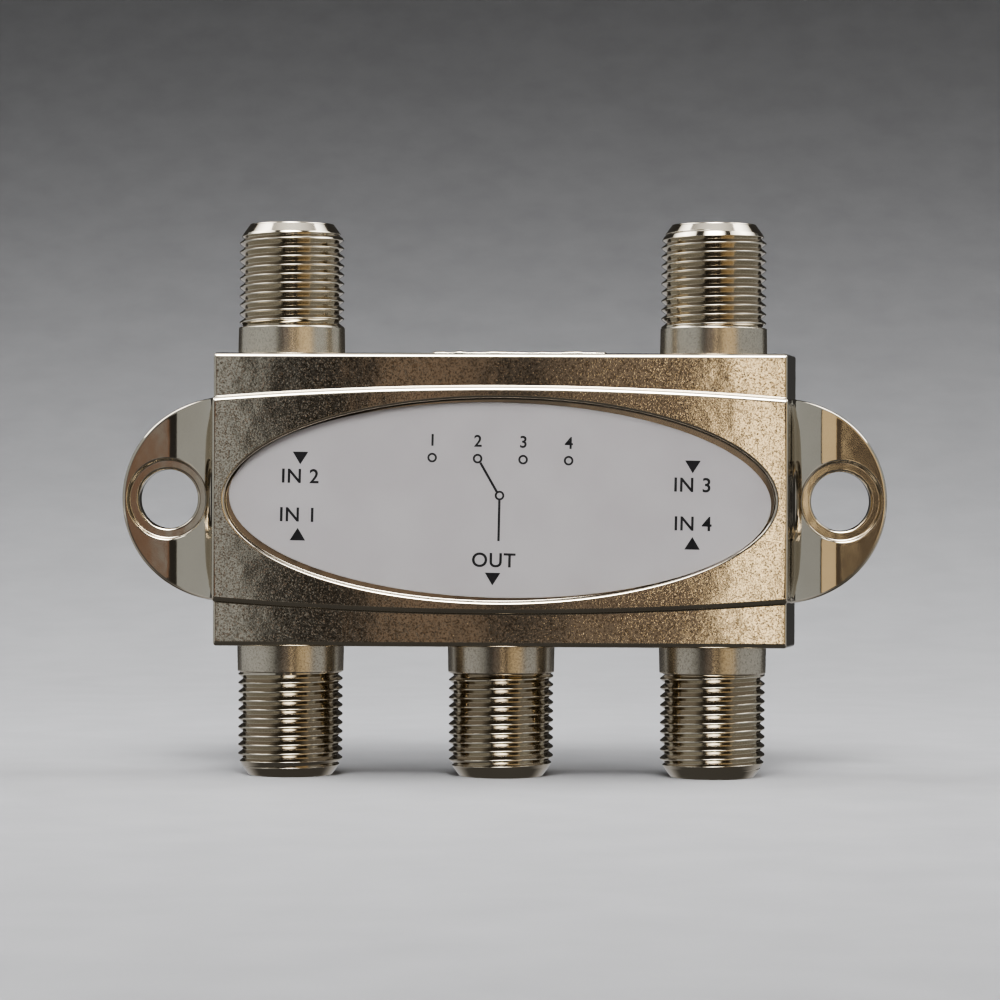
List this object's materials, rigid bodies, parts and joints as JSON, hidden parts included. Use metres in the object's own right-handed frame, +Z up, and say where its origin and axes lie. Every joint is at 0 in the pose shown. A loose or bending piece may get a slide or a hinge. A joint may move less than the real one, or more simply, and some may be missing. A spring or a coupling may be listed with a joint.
{
  "type": "satellite switch",
  "caption": "Die-cast satellite antenna switch with threaded coaxial sockets above and below, screw ears at both ends and an oval label on a raised, bowed front band.",
  "frame": {"origin": "middle of the overall box, on the surface that the lower sockets stand on", "axes": "+Z up along the sockets, -Y out of the labelled front, +X to the right seen from the front"},
  "size_m": [0.0702, 0.016, 0.0496],
  "materials": {
    "cast_nickel": "satin",
    "label_sheet": "matte",
    "tinplate": "satin",
    "bush_plastic": "matte",
    "contact_tin": "satin",
    "board_laminate": "satin",
    "solder": "satin",
    "chip_black": "matte",
    "ferrite": "matte",
    "capacitor_ceramic": "satin",
    "tantalum_resin": "satin"
  },
  "bodies": {
    "root": {"housing": "cast_nickel", "label": "label_sheet", "rear_cover": "tinplate", "insulator_top_left": "bush_plastic", "insulator_top_right": "bush_plastic", "insulator_bottom_left": "bush_plastic", "insulator_bottom_middle": "bush_plastic", "insulator_bottom_right": "bush_plastic", "contact_top_left": "contact_tin", "contact_top_right": "contact_tin", "contact_bottom_left": "contact_tin", "contact_bottom_middle": "contact_tin", "contact_bottom_right": "contact_tin", "circuit_board": "board_laminate", "ground_solder": "solder", "contact_solder": "solder", "controller_chip": "chip_black", "voltage_regulator": "chip_black", "resistors": "chip_black", "supply_transistor_1": "chip_black", "supply_transistor_2": "chip_black", "supply_transistor_3": "chip_black", "supply_transistor_4": "chip_black", "pin_diode_1": "chip_black", "pin_diode_2": "chip_black", "pin_diode_3": "chip_black", "pin_diode_4": "chip_black", "rf_choke_1": "ferrite", "rf_choke_2": "ferrite", "rf_choke_3": "ferrite", "rf_choke_4": "ferrite", "rf_choke_5": "ferrite", "blocking_capacitor_1": "capacitor_ceramic", "blocking_capacitor_2": "capacitor_ceramic", "blocking_capacitor_3": "capacitor_ceramic", "blocking_capacitor_4": "capacitor_ceramic", "blocking_capacitor_5": "capacitor_ceramic", "smoothing_capacitor": "tantalum_resin"}
  },
  "joints": []
}
